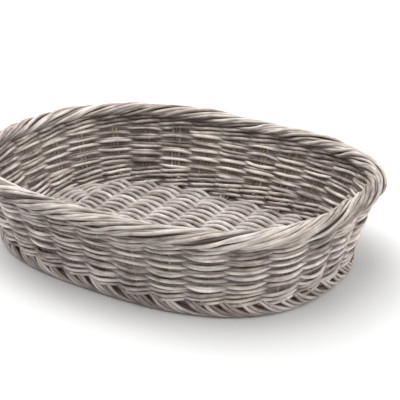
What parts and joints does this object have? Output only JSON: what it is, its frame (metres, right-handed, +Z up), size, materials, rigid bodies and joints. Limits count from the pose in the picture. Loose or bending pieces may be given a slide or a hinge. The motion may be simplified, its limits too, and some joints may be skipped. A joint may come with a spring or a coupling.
{
  "type": "woven wicker basket",
  "caption": "Low oval wicker basket with flared woven walls, a woven floor, a rope-like rolled rim and a plaited foot border.",
  "frame": {"origin": "centre of the outline on the surface that the basket rests on", "axes": "+X along the long axis of the oval, +Y along its short axis, +Z up out of the open top"},
  "size_m": [0.4, 0.3028, 0.0896],
  "materials": {
    "stake_cane": "matt grey-washed rattan cane, darker in the shade of the weave",
    "floor_cane": "matt grey-washed rattan cane",
    "wall_cane": "matt grey-washed rattan cane",
    "border_cane": "matt grey-washed rattan cane, lighter and slightly worn"
  },
  "bodies": {
    "root": {"cross_stakes_01": "stake_cane", "cross_stakes_02": "stake_cane", "cross_stakes_03": "stake_cane", "cross_stakes_04": "stake_cane", "cross_stakes_05": "stake_cane", "cross_stakes_06": "stake_cane", "cross_stakes_07": "stake_cane", "cross_stakes_08": "stake_cane", "cross_stakes_09": "stake_cane", "left_end_stakes_01": "stake_cane", "left_end_stakes_02": "stake_cane", "left_end_stakes_03": "stake_cane", "left_end_stakes_04": "stake_cane", "left_end_stakes_05": "stake_cane", "left_end_stakes_06": "stake_cane", "right_end_stakes_01": "stake_cane", "right_end_stakes_02": "stake_cane", "right_end_stakes_03": "stake_cane", "right_end_stakes_04": "stake_cane", "right_end_stakes_05": "stake_cane", "right_end_stakes_06": "stake_cane", "floor_weaver_01": "floor_cane", "floor_weaver_02": "floor_cane", "floor_weaver_03": "floor_cane", "floor_weaver_04": "floor_cane", "floor_weaver_05": "floor_cane", "floor_weaver_06": "floor_cane", "floor_weaver_07": "floor_cane", "floor_weaver_08": "floor_cane", "floor_weaver_09": "floor_cane", "floor_weaver_10": "floor_cane", "floor_weaver_11": "floor_cane", "floor_weaver_12": "floor_cane", "floor_weaver_13": "floor_cane", "floor_weaver_14": "floor_cane", "floor_weaver_15": "floor_cane", "floor_weaver_16": "floor_cane", "floor_weaver_17": "floor_cane", "floor_weaver_18": "floor_cane", "floor_weaver_19": "floor_cane", "floor_weaver_20": "floor_cane", "floor_weaver_21": "floor_cane", "floor_weaver_22": "floor_cane", "wall_weaver_01": "wall_cane", "wall_weaver_02": "wall_cane", "wall_weaver_03": "wall_cane", "wall_weaver_04": "wall_cane", "wall_weaver_05": "wall_cane", "wall_weaver_06": "wall_cane", "wall_weaver_07": "wall_cane", "wall_weaver_08": "wall_cane", "wall_weaver_09": "wall_cane", "wall_weaver_10": "wall_cane", "wall_weaver_11": "wall_cane", "wall_weaver_12": "wall_cane", "wall_weaver_13": "wall_cane", "wall_weaver_14": "wall_cane", "wall_weaver_15": "wall_cane", "foot_border": "border_cane", "rim_border": "border_cane"}
  },
  "joints": []
}
